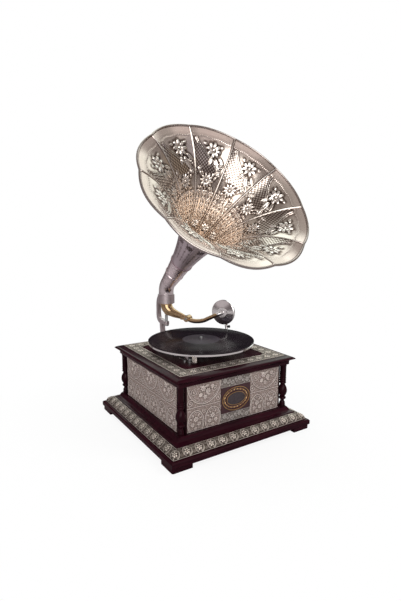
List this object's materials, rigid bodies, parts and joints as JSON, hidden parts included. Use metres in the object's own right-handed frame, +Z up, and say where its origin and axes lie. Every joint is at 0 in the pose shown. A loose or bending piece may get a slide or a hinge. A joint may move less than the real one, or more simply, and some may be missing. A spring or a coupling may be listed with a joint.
{
  "type": "gramophone",
  "caption": "Horn gramophone: a square wooden case with embossed metal sheets and turned columns, a spring motor with a turntable, a hinged tonearm and a petal horn on a swivelling elbow.",
  "frame": {"origin": "on the ground under the middle of the whole outline's box", "axes": "+Z up; -Y is the front, towards which the horn opens; +X is the right side, which holds the crank"},
  "size_m": [0.4648, 0.4566, 0.696],
  "materials": {
    "wood": "dark glossy lacquer",
    "maroon_wood": "satin maroon lacquer",
    "embossed_silver": "embossed sheet, aged silver with dark recesses",
    "gold_ring": "gold paint on sheet",
    "dark_enamel": "dark blue grey enamel",
    "polished_nickel": "polished nickel",
    "felt": "felt",
    "shellac": "grooved, glossy",
    "steel": "turned steel",
    "spring_steel": "blued",
    "gear_brass": "machined",
    "arm_brass": "polished, lacquered",
    "brake_leather": "oiled",
    "grey_casting": "smooth grey casting",
    "mica": "thin mica sheet",
    "black_screw": "black lacquer"
  },
  "bodies": {
    "root": {"feet": "wood", "plinth_frame": "wood", "plinth_band": "embossed_silver", "bottom_board": "maroon_wood", "case_walls": "wood", "corner_columns": "wood", "front_sheet": "embossed_silver", "left_sheet": "embossed_silver", "right_sheet": "embossed_silver", "back_sheet": "embossed_silver", "badge_plate": "maroon_wood", "badge_ring": "gold_ring", "badge_oval": "dark_enamel", "top_frame": "wood", "motor_board": "maroon_wood", "top_border": "embossed_silver", "brake_pivot": "steel", "motor_plate": "steel", "lower_plate": "steel", "motor_pillars": "steel", "motor_bolts": "steel", "return_stop_spring": "spring_steel", "governor_bearings": "gear_brass", "crank_plate": "gear_brass", "back_bracket": "grey_casting", "bracket_screws": "steel", "tonearm_post": "steel"},
    "turntable": {"platter": "polished_nickel", "platter_felt": "felt", "record": "shellac", "spindle": "steel", "worm_wheel": "gear_brass"},
    "idler": {"idler_wheel": "gear_brass"},
    "barrel": {"spring_barrel": "steel", "barrel_cover": "gear_brass", "mainspring": "spring_steel"},
    "arbor": {"winding_arbor": "steel", "crown_wheel": "gear_brass"},
    "crank": {"winding_shaft": "steel", "crank_arm": "polished_nickel"},
    "handle": {"crank_handle": "wood"},
    "governor": {"governor_shaft": "steel", "governor_weights": "steel", "governor_springs": "spring_steel", "governor_disc": "gear_brass"},
    "brake": {"brake_lever": "polished_nickel"},
    "regulator": {"speed_lever": "polished_nickel", "governor_brake": "brake_leather"},
    "horn": {"horn_bell": "embossed_silver", "horn_neck": "embossed_silver", "horn_elbow": "polished_nickel"},
    "arm": {"tonearm": "arm_brass", "knuckle_pin": "steel"},
    "gooseneck": {"gooseneck": "arm_brass"},
    "soundbox": {"soundbox_back": "polished_nickel", "soundbox_ring": "polished_nickel", "diaphragm": "mica", "needle_bar": "polished_nickel", "needle": "steel"},
    "screw": {"needle_screw": "black_screw"}
  },
  "joints": [
    {"name": "turntable_spin", "type": "hinge", "parent": "root", "child": "turntable", "pos_m": [-0.03161, 0.00321, 0.195], "axis": [0, 0, 1], "continuous": true},
    {"name": "idler_turn", "type": "hinge", "parent": "root", "child": "idler", "pos_m": [-0.0085, 0.03287, 0.12], "axis": [0, 0, 1], "continuous": true},
    {"name": "barrel_turn", "type": "hinge", "parent": "root", "child": "barrel", "pos_m": [-0.06161, 0.05517, 0.13], "axis": [0, 0, 1], "continuous": true},
    {"name": "governor_spin", "type": "hinge", "parent": "root", "child": "governor", "pos_m": [-0.04161, -0.01659, 0.133], "axis": [1, 0, 0], "continuous": true},
    {"name": "crank_turn", "type": "hinge", "parent": "root", "child": "crank", "pos_m": [0.09839, 0.05517, 0.098], "axis": [1, 0, 0], "continuous": true},
    {"name": "arbor_turn", "type": "hinge", "parent": "root", "child": "arbor", "pos_m": [-0.06161, 0.05517, 0.13], "axis": [0, 0, 1], "continuous": true},
    {"name": "handle_spin", "type": "hinge", "parent": "crank", "child": "handle", "pos_m": [0.19839, 0.05517, 0.02], "axis": [1, 0, 0], "continuous": true},
    {"name": "tonearm_swing", "type": "hinge", "parent": "root", "child": "arm", "pos_m": [-0.03161, 0.17821, 0.27], "axis": [0, 0, 1], "range_deg": [-20, 35]},
    {"name": "gooseneck_lift", "type": "hinge", "parent": "arm", "child": "gooseneck", "pos_m": [-0.00028, 0.11673, 0.229], "axis": [-0.891, -0.454, 0], "range_deg": [0, 60]},
    {"name": "soundbox_turn", "type": "hinge", "parent": "gooseneck", "child": "soundbox", "pos_m": [0.05507, 0.03674, 0.252], "axis": [-0.891, -0.454, 0], "range_deg": [0, 150]},
    {"name": "needle_screw_turn", "type": "hinge", "parent": "soundbox", "child": "screw", "pos_m": [0.06629, 0.02573, 0.21589], "axis": [0.4413, -0.866, 0.2351], "range_deg": [0, 360]},
    {"name": "horn_turn", "type": "hinge", "parent": "root", "child": "horn", "pos_m": [-0.03161, 0.17821, 0.282], "axis": [0, 0, 1], "continuous": true},
    {"name": "brake_swing", "type": "hinge", "parent": "root", "child": "brake", "pos_m": [-0.10361, -0.06279, 0.1778], "axis": [0, 0, -1], "range_deg": [0, 5]},
    {"name": "speed_turn", "type": "hinge", "parent": "root", "child": "regulator", "pos_m": [-0.10761, -0.04679, 0.16], "axis": [0, 0, 1], "range_deg": [-1, 14]}
  ],
  "couplings": [
    {"joint": "idler_turn", "follows": "turntable_spin", "ratio": -0.25},
    {"joint": "barrel_turn", "follows": "turntable_spin", "ratio": 0.0375},
    {"joint": "governor_spin", "follows": "turntable_spin", "ratio": -10},
    {"joint": "arbor_turn", "follows": "crank_turn", "ratio": -0.33333}
  ]
}
